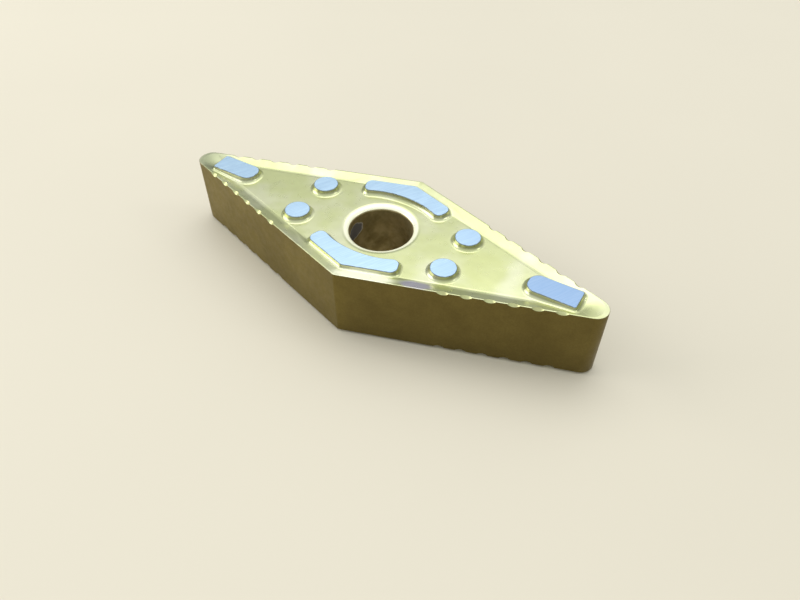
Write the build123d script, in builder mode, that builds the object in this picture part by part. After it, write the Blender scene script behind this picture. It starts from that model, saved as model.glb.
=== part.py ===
from build123d import *

import os
from math import cos, radians, sin

# Turning insert: a 35 degree rhombus pressed from sintered carbide, the same on both faces.
# Origin at the centre of the lower seat face, X along the long diagonal, Z through the hole.

# Rhombus outline
inscribed_circle = 9.525
corner_angle = 35.0
nose_radius = 0.8
blunt_radius = 0.25

# Heights, from the plane that the seat pads are ground to
thickness = 4.76
edge_drop = 0.16
floor_drop = 0.35

# Chip groove behind the cutting edge
land_width = 0.08
groove_width = 0.72
groove_nose_radius = 0.8
floor_nose_radius = 0.35
floor_blunt_radius = 0.4

# Raised shoulder that fills part of the groove beside the crescent pads
shoulder_width = 0.8
shoulder_drop = 0.06
shoulder_bend = 0.51
shoulder_reach = 3.2
shoulder_runout = 1.0

# Serrations along the cutting edges
serration_count = 6
serration_pitch = 1.27
first_serration = 4.6
serration_radius = 0.54
serration_depth = 0.15
serration_slope = 35.0
serration_reach = 1.0

# Hole with a rolled mouth
bore_diameter = 3.81
mouth_width = 0.5
mouth_depth = 0.28

# Walls of the seat pads
pad_draft = 12.0
pad_foot_flare = 0.16

# Round pads
dot_diameter = 1.45
dot_spacing_x = 10.0
dot_spacing_y = 3.0

# Tongue pads on the long diagonal, set back from the noses
tongue_setback = 1.63
tongue_length = 2.9
tongue_width = 1.32
tongue_inner_flat = 0.2
tongue_outer_radius = 0.1

# Crescent pads at the blunt corners
crescent_inset = 0.78
crescent_middle = 1.38
crescent_reach = 3.1
crescent_end_width = 1.08
crescent_end_flat = 0.3
crescent_bend_radius = 0.3

# Heights and directions that follow from these
middle_height = thickness / 2
edge_height = thickness - edge_drop
floor_height = thickness - floor_drop
side_sine = sin(radians(corner_angle / 2))
side_cosine = cos(radians(corner_angle / 2))
nose_tip = (inscribed_circle / 2 - nose_radius) / side_sine + nose_radius
mouth_radius = bore_diameter / 2 + mouth_width
mouth_height = floor_height - mouth_depth


def rhombus(height, inset, nose, blunt):
    """Rhombus with rounded corners, its sides moved in by inset."""
    reach = inscribed_circle / 2 - inset
    tip = reach / side_sine
    waist = reach / side_cosine
    with BuildSketch(Plane.XY.offset(height)) as outline:
        with BuildLine():
            Polyline((tip, 0), (0, waist), (-tip, 0), (0, -waist), close=True)
        make_face()
        fillet(outline.vertices().group_by(Axis.X)[0], nose)
        fillet(outline.vertices().group_by(Axis.X)[-1], nose)
        fillet(outline.vertices().group_by(Axis.Y)[0], blunt)
        fillet(outline.vertices().group_by(Axis.Y)[-1], blunt)
    return outline.sketch


def serration_planes():
    """Planes across the cutting edges, one at the bottom of each notch, facing down and out."""
    planes = []
    for side_x in (1, -1):
        for side_y in (1, -1):
            outward = Vector(side_x * side_sine, side_y * side_cosine, 0)
            along = Vector(side_x * side_cosine, -side_y * side_sine, 0)
            axis = outward * cos(radians(serration_slope)) - Vector(0, 0, sin(radians(serration_slope)))
            upward = outward * sin(radians(serration_slope)) + Vector(0, 0, cos(radians(serration_slope)))
            for index in range(serration_count):
                place = outward * (inscribed_circle / 2)
                place += along * (first_serration + index * serration_pitch)
                place += Vector(0, 0, edge_height - serration_depth)
                planes.append(Plane(place, x_dir=upward.cross(axis), z_dir=axis))
    return planes


# Seat pads as seen from above, at the ground plane
with BuildSketch(Plane.XY.offset(thickness)) as dots:
    with GridLocations(dot_spacing_x, dot_spacing_y, 2, 2):
        Circle(dot_diameter / 2)

with BuildSketch(Plane.XY.offset(thickness)) as tongues:
    with Locations((nose_tip - tongue_setback, 0)):
        Rectangle(tongue_length, tongue_width, align=(Align.MAX, Align.CENTER))
    fillet(tongues.vertices().group_by(Axis.X)[0], (tongue_width - tongue_inner_flat) / 2)
    fillet(tongues.vertices().group_by(Axis.X)[-1], tongue_outer_radius)
    mirror(about=Plane.YZ)

crescent_waist = (inscribed_circle / 2 - crescent_inset) / side_cosine
outer_x = crescent_reach * side_cosine
outer_y = crescent_waist - crescent_reach * side_sine
inner_x = outer_x - crescent_end_width * side_sine
inner_y = outer_y - crescent_end_width * side_cosine

with BuildSketch(Plane.XY.offset(thickness)) as crescents:
    with BuildLine():
        Polyline((-inner_x, inner_y), (-outer_x, outer_y), (0, crescent_waist),
                 (outer_x, outer_y), (inner_x, inner_y))
        ThreePointArc((inner_x, inner_y), (0, crescent_waist - crescent_middle),
                      (-inner_x, inner_y))
    make_face()
    end_corners = crescents.vertices().sort_by(Axis.Y)[:4]
    fillet(end_corners, (crescent_end_width - crescent_end_flat) / 2)
    fillet(crescents.vertices().sort_by(Axis.Y)[-1], crescent_bend_radius)
    mirror(about=Plane.XZ)

# Rim that carries the cutting edges, with the ramp of the chip groove inside it
with BuildPart() as rim:
    extrude(rhombus(floor_height, 0, nose_radius, blunt_radius), amount=edge_height - floor_height)
    ramp_foot = rhombus(floor_height, groove_width, floor_nose_radius, floor_blunt_radius)
    ramp_top = rhombus(edge_height, land_width, groove_nose_radius, blunt_radius)
    loft([ramp_foot, ramp_top], ruled=True, mode=Mode.SUBTRACT)

# Shoulders at the blunt corners, which run out into the groove on both sides
bend_height = edge_height - shoulder_drop
with BuildPart() as shoulders:
    extrude(rhombus(floor_height, 0, nose_radius, blunt_radius), amount=edge_height - floor_height)
    shoulder_foot = rhombus(floor_height, shoulder_width, floor_nose_radius, floor_blunt_radius)
    shoulder_top = rhombus(bend_height, shoulder_bend, floor_nose_radius, floor_blunt_radius)
    loft([shoulder_foot, shoulder_top], ruled=True, mode=Mode.SUBTRACT)
    loft([shoulder_top, ramp_top], ruled=True, mode=Mode.SUBTRACT)
    with BuildSketch(Plane.XZ):
        with BuildLine():
            full_end = shoulder_reach
            thin_end = shoulder_reach + shoulder_runout
            Polyline((-full_end, edge_height), (full_end, edge_height), (thin_end, floor_height),
                     (-thin_end, floor_height), close=True)
        make_face()
    extrude(amount=inscribed_circle, both=True, mode=Mode.INTERSECT)

# Upper half of the insert, then the same again below
with BuildPart() as insert_body:
    extrude(rhombus(middle_height, 0, nose_radius, blunt_radius),
            amount=floor_height - middle_height)
    flat_top = insert_body.faces().sort_by(Axis.Z)[-1]
    outer_edges = flat_top.edges()
    for pads in (dots, tongues, crescents):
        extrude(pads.sketch, amount=-floor_drop, taper=-pad_draft)
    feet = insert_body.edges().filter_by_position(Axis.Z, floor_height, floor_height)
    feet = feet - outer_edges
    chamfer(feet, pad_foot_flare)
    add(rim.part)
    add(shoulders.part)
    with BuildSketch(*serration_planes()):
        with Locations((0, serration_radius)):
            Circle(serration_radius)
    extrude(amount=serration_reach, both=True, mode=Mode.SUBTRACT)
    with BuildSketch(Plane.XZ):
        with BuildLine():
            EllipticalCenterArc((mouth_radius, mouth_height), mouth_width, mouth_depth,
                                start_angle=90, arc_size=90)
            Polyline((mouth_radius, floor_height), (mouth_radius, thickness), (0, thickness),
                     (0, middle_height), (bore_diameter / 2, middle_height),
                     (bore_diameter / 2, mouth_height))
        make_face()
    revolve(axis=Axis.Z, mode=Mode.SUBTRACT)
    mirror(about=Plane.XY.offset(middle_height))

os.makedirs("parts", exist_ok=True)
insert_body.part.label = "insert_body"
export_step(insert_body.part, "parts/insert_body.step")
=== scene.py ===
"""Dresses a carbide turning insert: coated faces with ground seat pads, on a plain pale stage."""
from math import atan2, cos, hypot, pi, radians, sin, sqrt, tan

import bmesh
import bpy
from bpy.props import FloatProperty, FloatVectorProperty, IntProperty, PointerProperty
from mathutils import Matrix, Vector


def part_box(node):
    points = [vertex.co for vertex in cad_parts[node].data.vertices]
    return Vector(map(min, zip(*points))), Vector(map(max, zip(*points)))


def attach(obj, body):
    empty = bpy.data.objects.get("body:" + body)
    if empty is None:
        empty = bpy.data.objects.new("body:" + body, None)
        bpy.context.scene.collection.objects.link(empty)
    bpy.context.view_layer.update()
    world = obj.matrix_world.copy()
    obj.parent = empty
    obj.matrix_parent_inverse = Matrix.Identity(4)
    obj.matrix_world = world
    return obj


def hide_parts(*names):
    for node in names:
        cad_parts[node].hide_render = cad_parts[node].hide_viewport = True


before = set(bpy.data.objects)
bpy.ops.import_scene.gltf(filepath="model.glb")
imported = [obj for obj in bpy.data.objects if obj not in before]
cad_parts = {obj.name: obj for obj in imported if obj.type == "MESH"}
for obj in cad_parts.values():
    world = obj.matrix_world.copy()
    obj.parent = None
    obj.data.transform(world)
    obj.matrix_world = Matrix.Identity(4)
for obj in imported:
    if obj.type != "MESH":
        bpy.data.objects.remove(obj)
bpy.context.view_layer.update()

bl_info = {
    "name": "Carbide insert",
    "version": (1, 0, 0),
    "blender": (4, 5, 0),
    "location": "View3D > Sidebar > Insert",
    "description": "Models a coated, double-sided turning insert and its stage",
    "category": "Object",
}

NODE = "insert_body"
BODY = "root"
MM = 0.001
NODE_LOW, NODE_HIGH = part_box(NODE)
THICKNESS = NODE_HIGH.z - NODE_LOW.z
MIDDLE = (NODE_HIGH.z + NODE_LOW.z) / 2

# Fineness of the round forms, in steps for a full turn or for one rounding
CORNER_STEPS = 144
HOLE_STEPS = 180
DOT_STEPS = 72
NOTCH_STEPS = 96
PAD_CORNER_STEPS = 14
PAD_SIDE_LENGTHS = [2 * MM, MM, 0.5 * MM, 0.25 * MM, 0.15 * MM]
FOOT_STEPS = 12
RIM_STEPS = 3
HONE_STEPS = 4
VALLEY_STEPS = 5
MOUTH_STEPS = 14

# How far the foot of a pad starts below the floor, so that the two meet along a clean line
FOOT_DIP = 0.005 * MM

# Upward part of a face's normal above which the face counts as level
LEVEL = 0.99999

# Points closer together than this are merged
MERGE = 0.0001 * MM

# Edges that turn by more than this stay sharp
SHARP_TURN = radians(21)

# Places in the list of finishes
COAT, GROUND, BORDER, FLANK, BORE, HONE, NOTCH = range(7)

# Range that noise mostly keeps to
NOISE_LOW, NOISE_HIGH = 0.3, 0.7

# Marks on the coat and in the hole: centre and radii in millimetres, turn and raggedness
SIDE_TURN = radians(17.5)
GREEN_PATCH = ((6.9, -0.1, 4.4), (1.9, 1.9, 1.9), 0.0, 0.6)
# Painted shade over the left nose
NOSE_SHADE = ((-12.7, 0.0, 4.6), (1.7, 1.3, 0.8), 0.0, 0.3)
HEAT_STAIN = ((4.25, -3.30, 4.52), (1.3, 0.5, 0.5), SIDE_TURN, 0.25)
# Painted highlight at the front right side
SIDE_HIGHLIGHT = ((1.5, -4.22, 4.55), (2.4, 0.65, 0.6), SIDE_TURN, 0.2)
BARE_PATCH = ((-1.85, -0.1, 3.25), (1.2, 1.12, 0.80), 0.0, 0.3)

# Where the painted highlight round the mouth of the hole starts to fade and where it ends, in
# millimetres from the axis
MOUTH_HIGHLIGHT = (2.15, 2.30)

# Where the pads and the sides turn darker towards the right under painted shade, in millimetres along
# X
PAD_PAINTED_SHADE = (2.5, 10.5)
FLANK_PAINTED_SHADE = (-1.0, 1.0)

# Soft lights: name, place, size and the setting that holds the power
SOFTBOXES = (("softbox_above", (-0.06, 0.09, 0.27), 0.24, "softbox_power"),
             ("softbox_back", (0.03, 0.30, 0.14), 0.19, "back_power"),
             ("softbox_left", (-0.20, -0.07, 0.10), 0.16, "fill_power"),
             ("softbox_right", (0.17, 0.087, 0.16), 0.04, "glint_power"))

# Light of the room behind the insert and in front of it, as pairs of height and brightness
SKY_BEHIND = ((0.0, 0.27), (0.30, 0.31), (0.46, 0.41), (0.57, 0.56), (0.65, 0.67), (0.72, 0.75),
              (0.84, 0.91), (1.0, 1.0))
SKY_BEFORE = ((0.0, 0.33), (0.25, 0.38), (0.45, 0.70), (0.70, 0.82), (1.0, 1.0))

# Red in that light beside green and blue, which makes it slightly cool
SKY_RED = 0.95

# How far to the front and to the back the room's light changes, and its strength there
ROOM_FRONT, ROOM_BACK = -0.6, 0.8
FRONT_STRENGTH, BACK_STRENGTH = 1.08, 1.52

# Width of the camera's sensor, in millimetres
SENSOR_WIDTH = 36


def length(name, default, description):
    """A size that a user can change, given in millimetres."""
    return FloatProperty(name=name, description=description, default=default * MM, precision=6,
                         unit="LENGTH", subtype="DISTANCE", min=0.0)


def angle(name, default, description):
    """An angle that a user can change, given in degrees."""
    return FloatProperty(name=name, description=description, default=radians(default),
                         unit="ROTATION", subtype="ANGLE")


def colour(name, default, description):
    """A colour that a user can change."""
    return FloatVectorProperty(name=name, description=description, default=default, size=3,
                               subtype="COLOR", min=0.0, max=1.0)


class InsertSizes(bpy.types.PropertyGroup):
    """Sizes of the pressed body."""
    inscribed_circle: length("Inscribed circle", 9.525, "Circle that touches the four sides")
    corner_angle: angle("Corner angle", 35.0, "Angle of the sharp corners")
    nose_radius: length("Nose radius", 0.8, "Radius of the sharp corners")
    blunt_radius: length("Blunt radius", 0.25, "Radius of the blunt corners")
    edge_drop: length("Edge drop", 0.16, "Cutting edge below the ground pads")
    edge_hone: length("Edge hone", 0.022, "Rounding of the cutting edge")
    floor_drop: length("Floor drop", 0.35, "Groove floor below the ground pads")
    land_width: length("Land", 0.08, "Flat strip behind the cutting edge")
    groove_width: length("Groove", 0.72, "Cutting edge to the foot of the ramp")
    groove_nose_radius: length("Groove nose", 0.8, "Corner of the ramp at the land")
    floor_nose_radius: length("Floor nose", 0.35, "Corner of the ramp at the floor")
    floor_blunt_radius: length("Floor blunt corner", 0.4, "Blunt corner of the ramp's foot")
    valley_radius: length("Valley radius", 1.2, "Hollow at the foot of the ramp")
    shoulder_width: length("Shoulder", 0.8, "Edge to the foot of the shoulder at the blunt corners")
    shoulder_drop: length("Shoulder drop", 0.06, "Shoulder's bend below the cutting edge")
    shoulder_bend: length("Shoulder bend", 0.51, "Edge to the bend of the shoulder")
    shoulder_reach: length("Shoulder reach", 3.2, "Middle to where the shoulder starts to run out")
    shoulder_runout: length("Shoulder runout", 1.0, "Length over which it runs out")
    serration_count: IntProperty(name="Serrations", description="Notches on each side", default=6)
    serration_pitch: length("Serration pitch", 1.27, "Distance between notches")
    first_serration: length("First serration", 4.6, "From where the circle touches to the first notch")
    serration_radius: length("Serration radius", 0.54, "Radius of the notches")
    serration_depth: length("Serration depth", 0.15, "Dip of the cutting edge at a notch")
    serration_slope: angle("Serration slope", 35.0, "Slope of the notches, outwards")
    bore_diameter: length("Hole", 3.81, "Diameter of the hole")
    mouth_width: length("Mouth width", 0.5, "Width of the rolled mouth of the hole")
    mouth_depth: length("Mouth depth", 0.28, "Depth of the rolled mouth of the hole")


class SeatPadSizes(bpy.types.PropertyGroup):
    """Sizes of the ground seat pads."""
    draft: angle("Draft", 12.0, "Lean of the pad walls")
    foot_radius: length("Foot radius", 0.31, "Hollow round the foot of a pad")
    rim_radius: length("Rim radius", 0.04, "Rounding round the ground top")
    dot_diameter: length("Round pad", 1.45, "Diameter of the round pads")
    dot_spacing_x: length("Round pads apart", 10.0, "Along the long diagonal")
    dot_spacing_y: length("Round pads across", 3.0, "Along the short diagonal")
    tongue_setback: length("Tongue setback", 1.63, "From the nose to the tongue pad")
    tongue_length: length("Tongue length", 2.9, "Length of the tongue pad")
    tongue_width: length("Tongue width", 1.32, "Width of the tongue pad")
    tongue_inner_radius: length("Tongue inner corners", 0.56, "Corners towards the hole")
    tongue_outer_radius: length("Tongue outer corners", 0.1, "Corners towards the nose")
    crescent_inset: length("Crescent inset", 0.78, "Cutting edge to the crescent pad")
    crescent_middle: length("Crescent middle", 1.38, "Width at the bend")
    crescent_reach: length("Crescent reach", 3.1, "Bend to the end")
    crescent_end_width: length("Crescent end", 1.08, "Width at the ends")
    crescent_end_radius: length("Crescent end corners", 0.39, "Corners at the ends")
    crescent_bend_radius: length("Crescent bend", 0.3, "Rounding of the bend")


class FinishColours(bpy.types.PropertyGroup):
    """Colours of the finishes."""
    coat: colour("Coat", (0.61, 0.61, 0.41), "Gold coat of the pressed faces")
    coat_deep: colour("Coat, deep", (0.54, 0.56, 0.29), "Greener areas of the coat")
    coat_green: colour("Coat, green", (0.52, 0.54, 0.26), "Greener patch of the coat at the right")
    # Painted shade: darker coat at the left nose
    coat_shaded: colour("Coat, dull", (0.34, 0.36, 0.22), "Duller coat at the left nose")
    # Painted highlight: the coat is painted pale at a side and round the mouth of the hole
    coat_highlight: colour("Coat, rubbed", (0.95, 0.93, 0.70), "Coat rubbed pale at a side and the hole")
    stain: colour("Stain", (0.60, 0.555, 0.66), "Lavender heat stain on the coat")
    # Painted reflection: the ground carbide's grey is tinted blue for the cool light it mirrors
    ground: colour("Ground", (0.42, 0.58, 0.76), "Ground carbide of the seat pads")
    ground_line: colour("Ground lines", (0.52, 0.68, 0.83), "Grinding lines on the pads")
    # Painted shade: darkens the ground pads towards the right
    ground_painted_shade: colour("Ground, shade", (0.58, 0.61, 0.71), "Darkens the pads at the right")
    # The sides' colours are darkened beyond the coat's own tone, as painted shade
    flank: colour("Flank", (0.205, 0.157, 0.043), "Satin coat of the sides")
    flank_light: colour("Flank, light", (0.245, 0.19, 0.053), "Paler areas of the sides")
    # Painted shade: darkens the sides towards the right
    flank_painted_shade: colour("Flank, shade", (0.74, 0.73, 0.80), "Darkens the sides at the right")
    bore: colour("Hole", (0.64, 0.54, 0.31), "Wall of the hole")
    bare: colour("Bare patch", (0.30, 0.31, 0.36), "Bare carbide inside the hole")
    bare_rim: colour("Bare patch, edge", (0.8, 0.78, 0.74), "Bright edge of the bare patch")
    # Painted shade: the cutting edge's colours are kept darker than the coat
    hone: colour("Edge", (0.27, 0.235, 0.125), "Coat on the rounded cutting edge")
    hone_dark: colour("Edge, dark", (0.15, 0.125, 0.055), "Darker stretches of the cutting edge")
    # Painted shade: the serrations are darker than the coat round them
    notch: colour("Notch", (0.46, 0.45, 0.22), "Coat in the serrations")
    border: colour("Border", (0.15, 0.17, 0.18), "Coat cut through round the ground pads")


class StageSettings(bpy.types.PropertyGroup):
    """The floor, the light and the camera."""
    floor_colour: colour("Floor", (0.66, 0.60, 0.485), "Plain pale floor")
    floor_size: FloatProperty(name="Floor size", description="Side of the floor", default=6.0,
                              unit="LENGTH", subtype="DISTANCE")
    camera_place: FloatVectorProperty(name="Camera", description="Where the camera stands",
                                      default=(0.0169314, -0.026326, 0.0303514),
                                      unit="LENGTH", subtype="TRANSLATION", precision=6)
    camera_aim: FloatVectorProperty(name="Aim", description="Where the camera looks",
                                    default=(0.001866, -0.000896, 0.0),
                                    unit="LENGTH", subtype="TRANSLATION", precision=6)
    camera_roll: angle("Roll", 0.25, "Roll of the camera")
    camera_lens: FloatProperty(name="Lens", description="Focal length in millimetres",
                               default=30.622, min=1.0)
    softbox_power: FloatProperty(name="Softbox", description="Power of the large softbox",
                                 default=0.20, unit="POWER")
    back_power: FloatProperty(name="Back light", description="Power of the low light behind",
                              default=0.05, unit="POWER")
    fill_power: FloatProperty(name="Fill", description="Power of the fill light at the left",
                              default=0.24, unit="POWER")
    glint_power: FloatProperty(name="Glint", description="Power of the small light at the right",
                               default=0.03, unit="POWER")


def deselect():
    """Leaves edit mode with nothing selected."""
    if bpy.context.mode != "OBJECT":
        bpy.ops.object.mode_set(mode="OBJECT")
    bpy.ops.object.select_all(action="DESELECT")


def edit(solid):
    """Opens one mesh for editing, with nothing selected in it."""
    deselect()
    solid.select_set(True)
    bpy.context.view_layer.objects.active = solid
    bpy.ops.object.mode_set(mode="EDIT")
    bpy.ops.mesh.select_all(action="DESELECT")


def choose(solid, kind, test):
    """In edit mode, selects the vertices, edges or faces that pass the test."""
    modes = {"verts": "VERT", "edges": "EDGE", "faces": "FACE"}
    bpy.ops.mesh.select_mode(type=modes[kind])
    bpy.ops.mesh.select_all(action="DESELECT")
    mesh = bmesh.from_edit_mesh(solid.data)
    mesh.normal_update()
    for item in getattr(mesh, kind):
        item.select_set(bool(test(item)))
    mesh.select_flush_mode()
    bmesh.update_edit_mesh(solid.data)


def tidy(solid):
    """Merges doubles and turns the faces outwards."""
    edit(solid)
    bpy.ops.mesh.select_all(action="SELECT")
    bpy.ops.mesh.remove_doubles(threshold=MERGE)
    bpy.ops.mesh.delete_loose()
    bpy.ops.mesh.select_all(action="SELECT")
    bpy.ops.mesh.normals_make_consistent(inside=False)
    bpy.ops.object.mode_set(mode="OBJECT")


def hull_of_circles(name, circles):
    """One convex solid round level circles, each given as x, y, height and radius."""
    nearly_flat = radians(0.1)
    deselect()
    for index, (x, y, height, radius) in enumerate(circles):
        bpy.ops.mesh.primitive_circle_add(vertices=CORNER_STEPS, radius=radius,
                                          location=(x, y, height))
        if index == 0:
            bpy.ops.object.transform_apply(location=True)
            solid = bpy.context.object
            solid.name = name
            bpy.ops.object.mode_set(mode="EDIT")
    bpy.ops.mesh.select_all(action="SELECT")
    bpy.ops.mesh.convex_hull()
    bpy.ops.mesh.select_all(action="SELECT")
    bpy.ops.mesh.dissolve_limited(angle_limit=nearly_flat)
    bpy.ops.object.mode_set(mode="OBJECT")
    tidy(solid)
    return solid


def cut(solid, tool, operation="DIFFERENCE"):
    """Cuts the solid with the tool, or joins the two, and uses the tool up."""
    deselect()
    bpy.context.view_layer.objects.active = solid
    solid.select_set(True)
    bpy.ops.object.modifier_add(type="BOOLEAN")
    boolean = solid.modifiers[-1]
    boolean.operation = operation
    boolean.solver = "EXACT"
    boolean.object = tool
    bpy.ops.object.modifier_apply(modifier=boolean.name)
    bpy.data.objects.remove(tool)
    tidy(solid)


def corner_circles(sizes, inset, nose, blunt, height):
    """Circles in the corners of the rhombus, its sides moved in by inset."""
    reach = sizes.inscribed_circle / 2 - inset
    tip = (reach - nose) / sin(sizes.corner_angle / 2)
    waist = (reach - blunt) / cos(sizes.corner_angle / 2)
    return [(tip, 0, height, nose), (-tip, 0, height, nose),
            (0, waist, height, blunt), (0, -waist, height, blunt)]


def blank(sizes):
    """Upper half of the plain rhombus, from the middle plane to the honed cutting edges."""
    outline = corner_circles(sizes, 0, sizes.nose_radius, sizes.blunt_radius, MIDDLE)
    edge = THICKNESS - sizes.edge_drop
    for step in range(HONE_STEPS + 1):
        turn = pi / 2 * step / HONE_STEPS
        inset = sizes.edge_hone * (1 - cos(turn))
        height = edge - sizes.edge_hone * (1 - sin(turn))
        outline += corner_circles(sizes, inset, sizes.nose_radius - inset,
                                  sizes.blunt_radius - inset, height)
    return hull_of_circles("coated_insert", outline)


def groove_tool(sizes):
    """What the chip groove takes out: it widens from the floor to the lands and on above them."""
    floor = THICKNESS - sizes.floor_drop
    rise = sizes.floor_drop - sizes.edge_drop
    run = sizes.groove_width - sizes.land_width
    slope = atan2(rise, run)
    reach = sizes.valley_radius * tan(slope / 2)

    def ring(inset, height):
        part = (sizes.groove_width - inset) / run
        nose = sizes.floor_nose_radius + part * (sizes.groove_nose_radius - sizes.floor_nose_radius)
        blunt = sizes.floor_blunt_radius + part * (sizes.blunt_radius - sizes.floor_blunt_radius)
        return corner_circles(sizes, inset, nose, blunt, height)

    rings = []
    for step in range(VALLEY_STEPS + 1):
        turn = slope * step / VALLEY_STEPS
        rings += ring(sizes.groove_width + reach - sizes.valley_radius * sin(turn),
                      floor + sizes.valley_radius * (1 - cos(turn)))
    # The slope goes on past the lands by as much again
    rings += ring(sizes.land_width - run, floor + 2 * rise)
    return hull_of_circles("groove_tool", rings)


def shoulders(sizes):
    """Raised ground beside the crescents, which runs out into the groove on both sides."""
    floor = THICKNESS - sizes.floor_drop
    edge = THICKNESS - sizes.edge_drop
    bend = edge - sizes.shoulder_drop
    sunk = 0.1 * MM

    def ring(inset, height):
        return corner_circles(sizes, inset, sizes.floor_nose_radius, sizes.floor_blunt_radius, height)

    solid = hull_of_circles("shoulders", ring(sizes.land_width / 2, floor - sunk)
                            + ring(sizes.land_width / 2, edge))
    steep = (sizes.shoulder_width - sizes.shoulder_bend) / (bend - floor)
    cut(solid, hull_of_circles("shoulder_inside", ring(
        sizes.shoulder_width + 2 * sunk * steep, floor - 2 * sunk) + ring(
        sizes.shoulder_bend, bend) + ring(sizes.shoulder_bend, THICKNESS)))
    gentle = (sizes.shoulder_bend - sizes.land_width) / sizes.shoulder_drop
    cut(solid, hull_of_circles("shoulder_top", ring(sizes.shoulder_bend, bend) + ring(
        sizes.shoulder_bend - 2 * sizes.shoulder_drop * gentle, edge + sizes.shoulder_drop)))
    deselect()
    bpy.ops.mesh.primitive_cube_add(size=1, location=(0, 0, floor))
    ends = bpy.context.object
    ends.scale = (2 * sizes.shoulder_reach, 2 * sizes.inscribed_circle, 2 * (edge - floor))
    bpy.ops.object.transform_apply(location=True, scale=True)
    edit(ends)
    choose(ends, "verts", lambda v: v.co.z < floor)
    widen = 1 + 2 * sizes.shoulder_runout / sizes.shoulder_reach
    bpy.ops.transform.resize(value=(widen, 1, 1), center_override=(0, 0, floor))
    bpy.ops.object.mode_set(mode="OBJECT")
    cut(solid, ends, "INTERSECT")
    return solid


def pad_steps(sizes, pads):
    """A pad's wall from its foot to its ground top, as steps inwards and upwards."""
    lean = pi / 2 - pads.draft
    first_slope = radians(5)
    steps = []
    slopes = [first_slope + (lean - first_slope) * step / FOOT_STEPS
              for step in range(FOOT_STEPS + 1)]
    for low, high in zip(slopes, slopes[1:]):
        steps.append((pads.foot_radius * (sin(high) - sin(low)),
                      pads.foot_radius * (cos(low) - cos(high))))
    rim_steps = []
    slopes = [lean * (1 - step / RIM_STEPS) for step in range(RIM_STEPS + 1)]
    for low, high in zip(slopes, slopes[1:]):
        rim_steps.append((pads.rim_radius * (sin(low) - sin(high)),
                          pads.rim_radius * (cos(high) - cos(low))))
    wall = sizes.floor_drop + FOOT_DIP - sum(up for _, up in steps + rim_steps)
    steps.append((wall * tan(pads.draft), wall))
    return steps + rim_steps


def grown(points, distance):
    """The corners of a polygon, anticlockwise, with its sides moved out."""
    moved = []
    for index, here in enumerate(points):
        before = (Vector(here) - Vector(points[index - 1])).normalized()
        after = (Vector(points[(index + 1) % len(points)]) - Vector(here)).normalized()
        outward = Vector((before.y, -before.x)) + Vector((after.y, -after.x))
        moved.append(Vector(here) + outward * distance / (1 + before.dot(after)))
    return moved


def rounded_face(points, radii, height):
    """A flat face with rounded corners, facing up."""
    deselect()
    bpy.ops.mesh.primitive_circle_add(vertices=len(points), fill_type="NGON")
    face = bpy.context.object
    for vertex, (x, y) in zip(face.data.vertices, points):
        vertex.co = (x, y, height)
    edit(face)
    for index, radius in enumerate(radii):
        here, before = Vector(points[index]), Vector(points[index - 1])
        after = Vector(points[(index + 1) % len(points)])
        opening = (before - here).angle(after - here)
        choose(face, "verts", lambda v: (v.co.xy - here).length < 10 * MERGE)
        bpy.ops.mesh.bevel(affect="VERTICES", offset=radius / tan(opening / 2),
                           segments=PAD_CORNER_STEPS, profile=0.5)
    for longest in PAD_SIDE_LENGTHS:
        choose(face, "edges", lambda e: e.calc_length() > longest)
        bpy.ops.mesh.subdivide(number_cuts=1)
        choose(face, "edges", lambda e: len(e.link_faces) == 2)
        bpy.ops.mesh.dissolve_edges(use_verts=False)
    bpy.ops.object.mode_set(mode="OBJECT")
    tidy(face)
    if face.data.polygons[0].normal.z < 0:
        edit(face)
        bpy.ops.mesh.select_all(action="SELECT")
        bpy.ops.mesh.flip_normals()
        bpy.ops.object.mode_set(mode="OBJECT")
    return face


def raise_pad(face, steps, sunk):
    """Draws the pad up from its foot face, which starts sunk below the floor."""
    edit(face)
    bpy.ops.mesh.select_all(action="SELECT")
    bpy.ops.mesh.extrude_region_move(TRANSFORM_OT_translate={"value": (0, 0, sunk - FOOT_DIP)})
    for inward, upward in steps:
        bpy.ops.mesh.inset(thickness=inward, depth=upward, use_even_offset=True)
    tidy(face)
    return face


def joined(solids):
    """The solids as one mesh, at the origin."""
    deselect()
    for solid in solids:
        solid.select_set(True)
    bpy.context.view_layer.objects.active = solids[0]
    bpy.context.view_layer.update()
    bpy.ops.object.join()
    bpy.ops.object.transform_apply(location=True, rotation=True)
    return solids[0]


def copies(solid, stands):
    """Copies of the solid, each with its place and turn, as one mesh."""
    deselect()
    solid.select_set(True)
    bpy.context.view_layer.objects.active = solid
    solids = [solid]
    for _ in stands[1:]:
        bpy.ops.object.duplicate(linked=False)
        solids.append(bpy.context.object)
    for copy, (place, turn) in zip(solids, stands):
        copy.location = place
        copy.rotation_euler = turn
    return joined(solids)


def tongue_outline(sizes, pads):
    """Corners and corner radii of the tongue pad at the right nose."""
    nose_tip = (sizes.inscribed_circle / 2 - sizes.nose_radius) / sin(sizes.corner_angle / 2)
    outer = nose_tip + sizes.nose_radius - pads.tongue_setback
    inner = outer - pads.tongue_length
    half = pads.tongue_width / 2
    points = [(inner, -half), (outer, -half), (outer, half), (inner, half)]
    radii = [pads.tongue_inner_radius, pads.tongue_outer_radius,
             pads.tongue_outer_radius, pads.tongue_inner_radius]
    return points, radii


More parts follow.
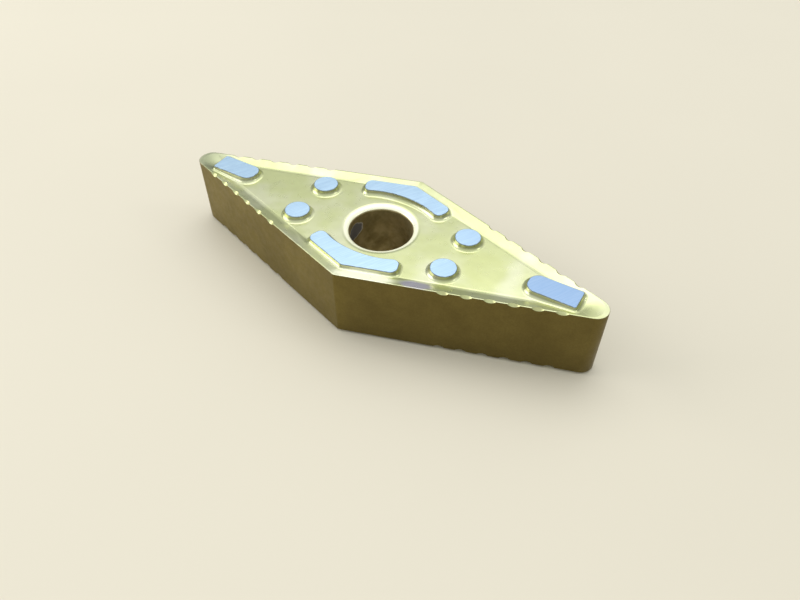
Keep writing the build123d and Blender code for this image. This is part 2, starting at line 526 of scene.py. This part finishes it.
def crescent_outline(sizes, pads):
    """Corners and corner radii of the crescent pad at the back. Its inner side is one long arc."""
    sine, cosine = sin(sizes.corner_angle / 2), cos(sizes.corner_angle / 2)
    waist = (sizes.inscribed_circle / 2 - pads.crescent_inset) / cosine
    outer_x = pads.crescent_reach * cosine
    outer_y = waist - pads.crescent_reach * sine
    inner_x = outer_x - pads.crescent_end_width * sine
    inner_y = outer_y - pads.crescent_end_width * cosine
    # The arc takes this share of each inner arm, and the sag is how much lower than the peak
    # its middle lies, as a share of the rise
    arc_share = 0.93
    sag = arc_share * (2 - sqrt(2))
    peak = (waist - pads.crescent_middle - sag * inner_y) / (1 - sag)
    points = [(-inner_x, inner_y), (0, peak), (inner_x, inner_y),
              (outer_x, outer_y), (0, waist), (-outer_x, outer_y)]
    end = pads.crescent_end_radius
    arm = hypot(inner_x, peak - inner_y)
    hollow = arc_share * (arm - end) * inner_x / (peak - inner_y)
    return points, [end, hollow, end, end, pads.crescent_bend_radius, end]


def seat_pads(sizes, pads, body):
    """The round, tongue and crescent pads of one face, let down onto the body below them."""
    sunk = 0.08 * MM
    base = THICKNESS - sizes.floor_drop - sunk
    steps = pad_steps(sizes, pads)
    spread = sum(inward for inward, _ in steps)
    middle, unturned = (0, 0, 0), (0, 0, 0)

    deselect()
    bpy.ops.mesh.primitive_circle_add(
        vertices=DOT_STEPS, radius=pads.dot_diameter / 2 + spread, fill_type="NGON",
        location=(0, 0, base))
    bpy.ops.object.transform_apply(location=True)
    half_x, half_y = pads.dot_spacing_x / 2, pads.dot_spacing_y / 2
    places = [(x, y, 0) for x in (half_x, -half_x) for y in (half_y, -half_y)]
    solids = [copies(raise_pad(bpy.context.object, steps, sunk),
                     [(place, unturned) for place in places])]

    for outline, hollow_corner in ((tongue_outline, None), (crescent_outline, 1)):
        points, radii = outline(sizes, pads)
        wide = [radius - spread if index == hollow_corner else radius + spread
                for index, radius in enumerate(radii)]
        face = rounded_face(grown(points, spread), wide, base)
        solids.append(copies(raise_pad(face, steps, sunk),
                             [(middle, unturned), (middle, (0, 0, pi))]))

    raised = joined(solids)
    for vertex in raised.data.vertices:
        x, y, height = vertex.co
        hit, ground, _, _ = body.ray_cast((x, y, THICKNESS), (0, 0, -1))
        if not hit:
            raise RuntimeError("a seat pad reaches past the body")
        part = (THICKNESS - height) / sizes.floor_drop
        vertex.co.z = THICKNESS - part * (THICKNESS - ground.z)
    return raised


def hole_tool(sizes):
    """What the hole takes out, with the rolled mouth that flares to the floor."""
    radius = sizes.bore_diameter / 2
    floor = THICKNESS - sizes.floor_drop
    start = MIDDLE - sizes.mouth_depth
    # The roll stops just short of level and runs on straight, so that it meets the floor cleanly
    last_turn = radians(85)
    run = 0.06 * MM
    profile = [(radius, floor - sizes.mouth_depth)]
    for step in range(1, MOUTH_STEPS + 1):
        turn = last_turn * step / MOUTH_STEPS
        profile.append((radius + sizes.mouth_width * (1 - cos(turn)),
                        floor - sizes.mouth_depth * (1 - sin(turn))))
    (near, low), (far, high) = profile[-2:]
    profile.append((far + run, high + run * (high - low) / (far - near)))
    profile.append((far + run, THICKNESS))
    deselect()
    bpy.ops.mesh.primitive_circle_add(vertices=HOLE_STEPS, radius=radius, fill_type="NGON",
                                      location=(0, 0, start))
    bpy.ops.object.transform_apply(location=True)
    tool = bpy.context.object
    edit(tool)
    bpy.ops.mesh.select_all(action="SELECT")
    wide, level = radius, start
    for next_wide, next_level in profile:
        bpy.ops.mesh.extrude_region_move(
            TRANSFORM_OT_translate={"value": (0, 0, next_level - level)})
        growth = next_wide / wide
        bpy.ops.transform.resize(value=(growth, growth, 1), center_override=(0, 0, next_level))
        wide, level = next_wide, next_level
    tidy(tool)
    return tool


def serrations(sizes):
    """The line of each notch on the upper face, as a point and the way it runs down outwards."""
    sine, cosine = sin(sizes.corner_angle / 2), cos(sizes.corner_angle / 2)
    slope = sizes.serration_slope
    lines = []
    for side_x in (1, -1):
        for side_y in (1, -1):
            outward = Vector((side_x * sine, side_y * cosine, 0))
            along = Vector((side_x * cosine, -side_y * sine, 0))
            axis = outward * cos(slope) - Vector((0, 0, sin(slope)))
            upward = outward * sin(slope) + Vector((0, 0, cos(slope)))
            for index in range(sizes.serration_count):
                place = outward * sizes.inscribed_circle / 2
                place += along * (sizes.first_serration + index * sizes.serration_pitch)
                place += Vector((0, 0, THICKNESS - sizes.edge_drop - sizes.serration_depth))
                lines.append((place + upward * sizes.serration_radius, axis))
    return lines


def notch_tool(sizes):
    """Round bars that lie across the cutting edges and cut the serrations."""
    bar_length = 2 * MM
    deselect()
    bpy.ops.mesh.primitive_cylinder_add(vertices=NOTCH_STEPS, radius=sizes.serration_radius,
                                        depth=bar_length)
    tool = copies(bpy.context.object, [(place, axis.to_track_quat("Z", "Y").to_euler())
                                       for place, axis in serrations(sizes)])
    tidy(tool)
    return tool


def mirror_down(solid):
    """Opens the half at the middle plane and adds its mirror image below."""
    def level(vertices):
        return all(abs(v.co.z - MIDDLE) < MERGE for v in vertices)

    edit(solid)
    choose(solid, "faces", lambda f: level(f.verts))
    bpy.ops.mesh.delete(type="FACE")
    bpy.ops.mesh.select_all(action="SELECT")
    bpy.ops.mesh.duplicate()
    bpy.ops.transform.resize(value=(1, 1, -1), center_override=(0, 0, MIDDLE))
    tidy(solid)
    edit(solid)
    choose(solid, "edges", lambda e: level(e.verts))
    bpy.ops.mesh.dissolve_edges()
    bpy.ops.object.mode_set(mode="OBJECT")


def outline_gap(sizes, x, y):
    """Distance in from the rounded rhombus outline, in plan."""
    sine, cosine = sin(sizes.corner_angle / 2), cos(sizes.corner_angle / 2)
    half = sizes.inscribed_circle / 2
    x, y = abs(x), abs(y)
    nose_x = x - (half - sizes.nose_radius) / sine
    blunt_y = y - (half - sizes.blunt_radius) / cosine
    if nose_x > 0 and y * sine < nose_x * cosine:
        return sizes.nose_radius - hypot(nose_x, y)
    if blunt_y > 0 and x * cosine < blunt_y * sine:
        return sizes.blunt_radius - hypot(x, blunt_y)
    return half - x * sine - y * cosine


def finish_faces(solid, sizes, pads):
    """Gives each face its finish, by its place and its slope."""
    wall_radius = sizes.bore_diameter / 2 + 0.04 * MM
    border_depth = pads.rim_radius * 0.75
    notches = serrations(sizes)
    hair = 0.004 * MM
    steep = 0.3

    def in_notch(centre):
        centre = Vector((centre.x, centre.y, max(centre.z, NODE_HIGH.z - centre.z)))
        for place, axis in notches:
            across = centre - place
            if abs((across - axis * across.dot(axis)).length - sizes.serration_radius) < hair / 2:
                return True
        return False

    for face in solid.data.polygons:
        x, y, z = face.center
        rise = abs(face.normal.z)
        below_pads = min(NODE_HIGH.z - z, z - NODE_LOW.z)
        gap = outline_gap(sizes, x, y)
        if below_pads < hair / 4 and rise > LEVEL:
            face.material_index = GROUND
        elif below_pads < border_depth:
            face.material_index = BORDER
        elif hypot(x, y) < wall_radius and rise < 2 * steep:
            face.material_index = BORE
        elif gap < hair and rise < steep:
            face.material_index = FLANK
        elif gap < sizes.groove_width and in_notch(face.center):
            face.material_index = NOTCH
        elif gap < sizes.edge_hone and below_pads < sizes.edge_drop + sizes.edge_hone:
            face.material_index = HONE
        else:
            face.material_index = COAT


def smooth(solid):
    """Shades the curved surfaces smooth and keeps the flat ones flat."""
    deselect()
    bpy.context.view_layer.objects.active = solid
    solid.select_set(True)
    bpy.ops.object.shade_smooth_by_angle(angle=SHARP_TURN)
    bpy.ops.object.modifier_add(type="WEIGHTED_NORMAL")
    weighted = solid.modifiers[-1]
    weighted.keep_sharp = True
    weighted.weight = 100
    bpy.ops.object.modifier_apply(modifier=weighted.name)
    normals = [corner.vector.copy() for corner in solid.data.corner_normals]
    for face in solid.data.polygons:
        if abs(face.normal.z) > LEVEL:
            for corner in face.loop_indices:
                normals[corner] = face.normal.copy()
    solid.data.normals_split_custom_set(normals)


def add_node(tree, kind, inputs=(), **settings):
    """A shader node with its settings and its inputs, each a value or another node's output."""
    node = tree.nodes.new("ShaderNode" + kind)
    for name, value in settings.items():
        setattr(node, name, value)
    for name, value in dict(inputs).items():
        if isinstance(value, bpy.types.NodeSocket):
            tree.links.new(value, node.inputs[name])
        else:
            node.inputs[name].default_value = value
    return node


def new_finish(name, **constants):
    """A material with its shader, and the piece's own coordinates in millimetres."""
    finish = bpy.data.materials.new(name)
    finish.use_nodes = True
    tree = finish.node_tree
    shader = tree.nodes["Principled BSDF"]
    for socket, value in constants.items():
        shader.inputs[socket.replace("_", " ").title()].default_value = value
    own = add_node(tree, "TexCoord")
    place = add_node(tree, "Mapping", {"Vector": own.outputs["Object"],
                                       "Scale": (1 / MM, 1 / MM, 1 / MM)})
    return finish, tree, shader, place.outputs["Vector"]


def noise(tree, place, scale, detail=3.0, roughness=0.55):
    """Even noise of the given scale, per millimetre."""
    node = add_node(tree, "TexNoise", {"Vector": place, "Scale": scale, "Detail": detail,
                                       "Roughness": roughness})
    return node.outputs["Fac"]


def ranged(tree, value, low, high, to_low=0.0, to_high=1.0):
    """The value taken from one range to another, eased and clamped."""
    node = add_node(tree, "MapRange", {"Value": value, "From Min": low, "From Max": high,
                                       "To Min": to_low, "To Max": to_high},
                    interpolation_type="SMOOTHSTEP")
    return node.outputs["Result"]


def varied(tree, clouds, low=0.0, high=1.0):
    """Noise spread from one level to another."""
    return ranged(tree, clouds, NOISE_LOW, NOISE_HIGH, low, high)


def calculated(tree, operation, first, second=0.0):
    """One calculation with two numbers, or with one where the operation takes no more."""
    node = add_node(tree, "Math", operation=operation)
    for socket, value in zip(node.inputs, (first, second)):
        if isinstance(value, bpy.types.NodeSocket):
            tree.links.new(value, socket)
        else:
            socket.default_value = value
    return node.outputs["Value"]


def mixed(tree, part, first, second, blend="MIX"):
    """Two colours mixed."""
    node = add_node(tree, "Mix", data_type="RGBA", blend_type=blend)
    factor, one, two = node.inputs[0], node.inputs[6], node.inputs[7]
    for socket, value in ((factor, part), (one, first), (two, second)):
        if isinstance(value, bpy.types.NodeSocket):
            tree.links.new(value, socket)
        elif socket is factor:
            socket.default_value = value
        else:
            socket.default_value = (*value, 1)
    return node.outputs[2]


def from_axis(tree, place):
    """Distance from the axis of the hole, in millimetres."""
    parts = add_node(tree, "SeparateXYZ", {"Vector": place})
    squares = [calculated(tree, "MULTIPLY", parts.outputs[axis], parts.outputs[axis])
               for axis in "XY"]
    return calculated(tree, "SQRT", calculated(tree, "ADD", *squares))


def spot(tree, place, centre, radii, turn, ragged):
    """1 in the middle of a soft, ragged patch, falling to 0 at its radii, all in millimetres."""
    shake = add_node(tree, "TexNoise", {"Vector": place, "Scale": 1.6, "Detail": 3.0})
    moved = add_node(tree, "VectorMath", operation="MULTIPLY_ADD")
    tree.links.new(shake.outputs["Color"], moved.inputs[0])
    moved.inputs[1].default_value = (ragged, ragged, ragged)
    tree.links.new(place, moved.inputs[2])
    shaken_centre = [along + ragged / 2 for along in centre]
    patch = add_node(tree, "Mapping", {"Vector": moved.outputs["Vector"],
                                       "Location": shaken_centre,
                                       "Rotation": (0, 0, turn), "Scale": radii},
                     vector_type="TEXTURE")
    ball = add_node(tree, "TexGradient", {"Vector": patch.outputs["Vector"]},
                    gradient_type="SPHERICAL")
    return ball.outputs["Fac"]


def painted_shade_right(tree, place, stretch, base, shade):
    """The base colour, multiplied by a painted shade along a stretch towards the right."""
    parts = add_node(tree, "SeparateXYZ", {"Vector": place})
    rightness = ranged(tree, parts.outputs["X"], *stretch)
    return mixed(tree, rightness, base, mixed(tree, 1.0, base, shade, "MULTIPLY"))


def bumped(tree, shader, *layers):
    """Bumps from coarse to fine, each a height and the depth of a full step in millimetres."""
    previous = None
    for height, depth in layers:
        inputs = {"Height": height, "Distance": depth * MM}
        if previous:
            inputs["Normal"] = previous
        previous = add_node(tree, "Bump", inputs).outputs["Normal"]
    tree.links.new(previous, shader.inputs["Normal"])


def coat_finish(colours):
    """Gold coat on the pressed faces: satin and uneven, with a lavender stain, painted highlights at a
    side and round the hole, and painted shade at the left nose.
    """
    finish, tree, shader, place = new_finish("gold_coat")
    clouds = noise(tree, place, 0.4, 3.0, 0.5)
    base = mixed(tree, ranged(tree, clouds, 0.36, 0.66), colours.coat_deep, colours.coat)
    green = spot(tree, place, *GREEN_PATCH)
    base = mixed(tree, ranged(tree, green, 0.12, 0.5, 0.0, 0.85), base, colours.coat_green)
    # Painted shade that darkens the coat at the left nose
    darkened = spot(tree, place, *NOSE_SHADE)
    base = mixed(tree, ranged(tree, darkened, 0.1, 0.5, 0.0, 0.9), base, colours.coat_shaded)
    stain = spot(tree, place, *HEAT_STAIN)
    base = mixed(tree, ranged(tree, stain, 0.12, 0.5, 0.0, 0.9), base, colours.stain)
    # Painted highlight: a spot at the front right side and the mouth of the hole turn pale and less
    # metallic
    painted = spot(tree, place, *SIDE_HIGHLIGHT)
    lip = ranged(tree, from_axis(tree, place), *MOUTH_HIGHLIGHT, 1.0, 0.0)
    pale = calculated(tree, "MAXIMUM", lip, ranged(tree, painted, 0.1, 0.5))
    base = mixed(tree, pale, base, colours.coat_highlight)
    tree.links.new(base, shader.inputs["Base Color"])
    tree.links.new(ranged(tree, pale, 0, 1, 1.0, 0.3), shader.inputs["Metallic"])
    rough = varied(tree, noise(tree, place, 2.4), 0.27, 0.32)
    tree.links.new(rough, shader.inputs["Roughness"])
    bumped(tree, shader, (noise(tree, place, 0.5, 2.0), 0.02),
           (noise(tree, place, 14.0, 2.0), 0.0001))
    return finish


def ground_finish(colours):
    """Ground carbide on the seat pads, with fine parallel grinding lines, its grey tinted blue as a
    painted reflection.
    """
    finish, tree, shader, place = new_finish("ground_carbide", metallic=1.0)
    lines = add_node(tree, "Mapping", {"Vector": place, "Rotation": (0, 0, radians(60.0)),
                                       "Scale": (3.0, 0.11, 1.0)}, vector_type="TEXTURE")
    fine = noise(tree, lines.outputs["Vector"], 2.2, 3.0, 0.65)
    broad = noise(tree, lines.outputs["Vector"], 0.5, 2.0)
    base = mixed(tree, ranged(tree, fine, 0.34, 0.68), colours.ground, colours.ground_line)
    base = mixed(tree, varied(tree, broad, 0.0, 0.4), base, colours.ground)
    # Painted shade that darkens the pads towards the right
    base = painted_shade_right(tree, place, PAD_PAINTED_SHADE, base, colours.ground_painted_shade)
    tree.links.new(base, shader.inputs["Base Color"])
    tree.links.new(varied(tree, fine, 0.3, 0.42), shader.inputs["Roughness"])
    bumped(tree, shader, (broad, 0.002), (fine, 0.0014))
    return finish


def flank_finish(colours):
    """Satin olive bronze of the sides, faintly mottled; the satin is the coat's own, its dark colour
    is painted shade.
    """
    finish, tree, shader, place = new_finish("flank_coat", metallic=1.0)
    clouds = noise(tree, place, 0.5, 4.0, 0.55)
    base = mixed(tree, ranged(tree, clouds, 0.3, 0.75), colours.flank, colours.flank_light)
    speckle = varied(tree, noise(tree, place, 10.0), 0.92, 1.05)
    base = mixed(tree, 1.0, base, speckle, "MULTIPLY")
    # Painted shade that darkens the sides towards the right
    base = painted_shade_right(tree, place, FLANK_PAINTED_SHADE, base, colours.flank_painted_shade)
    tree.links.new(base, shader.inputs["Base Color"])
    rough = varied(tree, noise(tree, place, 2.2), 0.42, 0.52)
    tree.links.new(rough, shader.inputs["Roughness"])
    bumped(tree, shader, (noise(tree, place, 0.9, 2.0), 0.01),
           (noise(tree, place, 14.0), 0.0025))
    return finish


def bore_finish(colours):
    """Dull brown wall of the hole, with a bare patch that has a bright edge."""
    finish, tree, shader, place = new_finish("bore_coat", metallic=1.0)
    clouds = noise(tree, place, 1.3, 4.0)
    base = mixed(tree, ranged(tree, clouds, 0.1, 0.95), colours.bore, colours.flank)
    patch = spot(tree, place, *BARE_PATCH)
    base = mixed(tree, ranged(tree, patch, 0.26, 0.32), base, colours.bare_rim)
    base = mixed(tree, ranged(tree, patch, 0.32, 0.40), base, colours.bare)
    tree.links.new(base, shader.inputs["Base Color"])
    tree.links.new(varied(tree, clouds, 0.45, 0.6), shader.inputs["Roughness"])
    bumped(tree, shader, (noise(tree, place, 9.0), 0.004))
    return finish


def hone_finish(colours):
    """The rounded cutting edge, a little darker than the coat beside it, as painted shade."""
    finish, tree, shader, place = new_finish("honed_edge", metallic=1.0)
    wear = noise(tree, place, 2.4, 4.0, 0.65)
    base = mixed(tree, ranged(tree, wear, 0.38, 0.62), colours.hone_dark, colours.hone)
    tree.links.new(base, shader.inputs["Base Color"])
    tree.links.new(varied(tree, wear, 0.45, 0.34), shader.inputs["Roughness"])
    bumped(tree, shader, (noise(tree, place, 16.0, 2.0), 0.002))
    return finish


def notch_finish(colours):
    """The serrations, a little darker than the coat round them, as painted shade."""
    finish, tree, shader, place = new_finish("notch_coat", metallic=1.0)
    clouds = noise(tree, place, 3.0)
    base = mixed(tree, varied(tree, clouds), colours.notch, colours.coat_deep)
    tree.links.new(base, shader.inputs["Base Color"])
    tree.links.new(varied(tree, clouds, 0.34, 0.42), shader.inputs["Roughness"])
    bumped(tree, shader, (noise(tree, place, 12.0, 2.0), 0.001))
    return finish


def border_finish(colours):
    """Thin dark border round the ground pads, where the coat is cut through."""
    finish, tree, shader, place = new_finish("coat_border", metallic=1.0)
    wear = noise(tree, place, 4.0)
    base = mixed(tree, ranged(tree, wear, 0.35, 0.75, 0.0, 0.5), colours.border, colours.ground)
    tree.links.new(base, shader.inputs["Base Color"])
    tree.links.new(varied(tree, wear, 0.4, 0.5), shader.inputs["Roughness"])
    return finish


def floor_finish(settings):
    """Plain pale floor with a faint unevenness."""
    finish, tree, shader, place = new_finish("pale_floor", roughness=0.65)
    tint = varied(tree, noise(tree, place, 0.02), 0.97, 1.0)
    base = mixed(tree, 1.0, settings.floor_colour, tint, "MULTIPLY")
    tree.links.new(base, shader.inputs["Base Color"])
    return finish


def place_camera(settings):
    """The camera at the photograph's viewing angle."""
    deselect()
    bpy.ops.object.camera_add(location=settings.camera_place)
    camera = bpy.context.object
    look = Vector(settings.camera_aim) - Vector(settings.camera_place)
    turn = look.to_track_quat("-Z", "Y").to_matrix() @ Matrix.Rotation(settings.camera_roll, 3, "Z")
    camera.rotation_euler = turn.to_euler()
    camera.data.lens = settings.camera_lens
    camera.data.sensor_width = SENSOR_WIDTH
    camera.data.clip_start = MM
    bpy.context.scene.camera = camera


def lay_floor(settings):
    """The floor that the insert lies on."""
    deselect()
    bpy.ops.mesh.primitive_plane_add(size=settings.floor_size)
    floor = bpy.context.object
    floor.name = "pale_floor"
    floor.data.materials.append(floor_finish(settings))


def sky_levels(tree, height, levels):
    """Brightness from the horizon to the zenith, given as pairs of height and level."""
    ramp = add_node(tree, "ValToRGB", {"Fac": height})
    points = ramp.color_ramp.elements
    for index, (place, level) in enumerate(levels):
        # A new ramp has two points already
        point = points[index] if index < 2 else points.new(place)
        point.position = place
        point.color = (SKY_RED * level, level, level, 1)
    return ramp.outputs["Color"]


def light_room():
    """Soft light from a pale ceiling that dims towards the horizon."""
    room = bpy.data.worlds.new("studio_room")
    bpy.context.scene.world = room
    room.use_nodes = True
    tree = room.node_tree
    sky = add_node(tree, "TexCoord")
    parts = add_node(tree, "SeparateXYZ", {"Vector": sky.outputs["Generated"]})
    behind = sky_levels(tree, parts.outputs["Z"], SKY_BEHIND)
    before = sky_levels(tree, parts.outputs["Z"], SKY_BEFORE)
    background = tree.nodes["Background"]
    front = ranged(tree, parts.outputs["Y"], 0.0, ROOM_FRONT)
    tree.links.new(mixed(tree, front, behind, before), background.inputs["Color"])
    strength = ranged(tree, parts.outputs["Y"], ROOM_FRONT, ROOM_BACK,
                      FRONT_STRENGTH, BACK_STRENGTH)
    tree.links.new(strength, background.inputs["Strength"])


def add_softbox(name, place, size, power):
    """A square soft light that faces the insert."""
    deselect()
    bpy.ops.object.light_add(type="AREA", location=place)
    light = bpy.context.object
    light.name = name
    light.rotation_euler = (-Vector(place)).to_track_quat("-Z", "Y").to_euler()
    light.data.energy = power
    light.data.size = size


class INSERT_OT_stage(bpy.types.Operator):
    """Sets up the camera, the pale floor and the soft light"""
    bl_idname = "insert.stage"
    bl_label = "Stage"

    def execute(self, context):
        settings = context.scene.insert_stage
        place_camera(settings)
        lay_floor(settings)
        light_room()
        for name, place, size, power in SOFTBOXES:
            add_softbox(name, place, size, getattr(settings, power))
        context.scene.view_settings.view_transform = "Standard"
        return {"FINISHED"}


class INSERT_OT_coated_insert(bpy.types.Operator):
    """Models the insert as one piece, with its coated, ground and worn finishes"""
    bl_idname = "insert.coated_insert"
    bl_label = "Coated insert"

    def execute(self, context):
        sizes = context.scene.insert_sizes
        pads = context.scene.insert_pads
        colours = context.scene.insert_colours
        solid = blank(sizes)
        cut(solid, groove_tool(sizes))
        cut(solid, shoulders(sizes), "UNION")
        cut(solid, seat_pads(sizes, pads, solid), "UNION")
        cut(solid, hole_tool(sizes))
        cut(solid, notch_tool(sizes))
        mirror_down(solid)
        solid.data.materials.clear()
        for make in (coat_finish, ground_finish, border_finish, flank_finish, bore_finish,
                     hone_finish, notch_finish):
            solid.data.materials.append(make(colours))
        finish_faces(solid, sizes, pads)
        smooth(solid)
        solid.name = "coated_insert"
        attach(solid, BODY)
        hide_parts(NODE)
        return {"FINISHED"}


class INSERT_PT_panel(bpy.types.Panel):
    """Lists the steps and the sizes in the sidebar"""
    bl_label = "Carbide insert"
    bl_idname = "INSERT_PT_panel"
    bl_space_type = "VIEW_3D"
    bl_region_type = "UI"
    bl_category = "Insert"

    def draw(self, context):
        for operator in OPERATORS:
            self.layout.operator(operator.bl_idname)
        for group in GROUPS:
            settings = getattr(context.scene, group)
            for name in settings.__annotations__:
                self.layout.prop(settings, name)


OPERATORS = (INSERT_OT_stage, INSERT_OT_coated_insert)
GROUPS = {"insert_sizes": InsertSizes, "insert_pads": SeatPadSizes,
          "insert_colours": FinishColours, "insert_stage": StageSettings}


def register():
    for item in (*GROUPS.values(), *OPERATORS, INSERT_PT_panel):
        bpy.utils.register_class(item)
    for name, group in GROUPS.items():
        setattr(bpy.types.Scene, name, PointerProperty(type=group))


def unregister():
    for name in GROUPS:
        delattr(bpy.types.Scene, name)
    for item in (INSERT_PT_panel, *reversed(OPERATORS), *reversed(tuple(GROUPS.values()))):
        bpy.utils.unregister_class(item)


def main():
    """Builds the stage and the insert."""
    register()
    bpy.ops.insert.stage()
    bpy.ops.insert.coated_insert()


if __name__ == "__main__":
    main()
